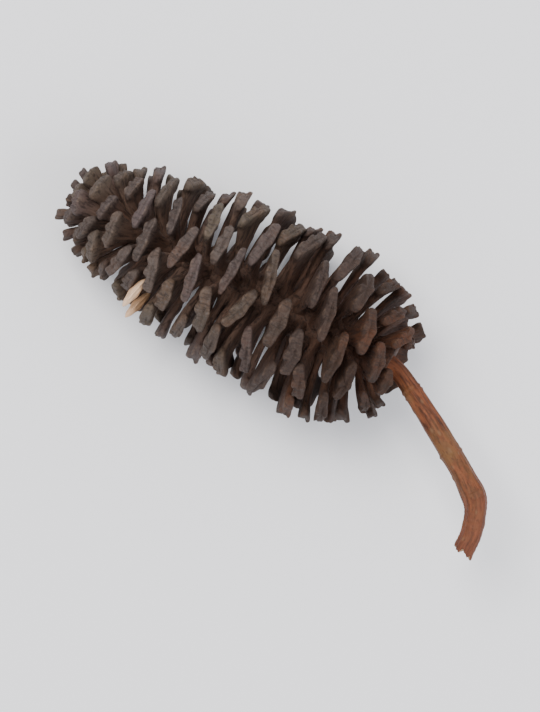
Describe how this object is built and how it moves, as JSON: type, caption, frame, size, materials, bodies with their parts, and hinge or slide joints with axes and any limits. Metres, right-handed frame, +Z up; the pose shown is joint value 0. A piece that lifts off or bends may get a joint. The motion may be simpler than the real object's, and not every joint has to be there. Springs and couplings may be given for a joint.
{
  "type": "alder cone",
  "caption": "Open woody alder cone lying on its side, with spiral scales, a bent stalk and two seeds lodged between the scales.",
  "frame": {"origin": "centre of the bounding box in X and Y, on the plane that the cone rests on", "axes": "+X from the stalk end towards the cone's tip, +Z up as it lies"},
  "size_m": [0.0346, 0.0144, 0.0122],
  "materials": {
    "scale_wood": "dry, matt, dark brown woody scales",
    "stalk_bark": "thin smooth reddish brown bark",
    "seed_husk": "dry pale tan seed coat"
  },
  "bodies": {
    "root": {"cone": "scale_wood", "stalk": "stalk_bark", "seed_1": "seed_husk", "seed_2": "seed_husk"}
  },
  "joints": []
}
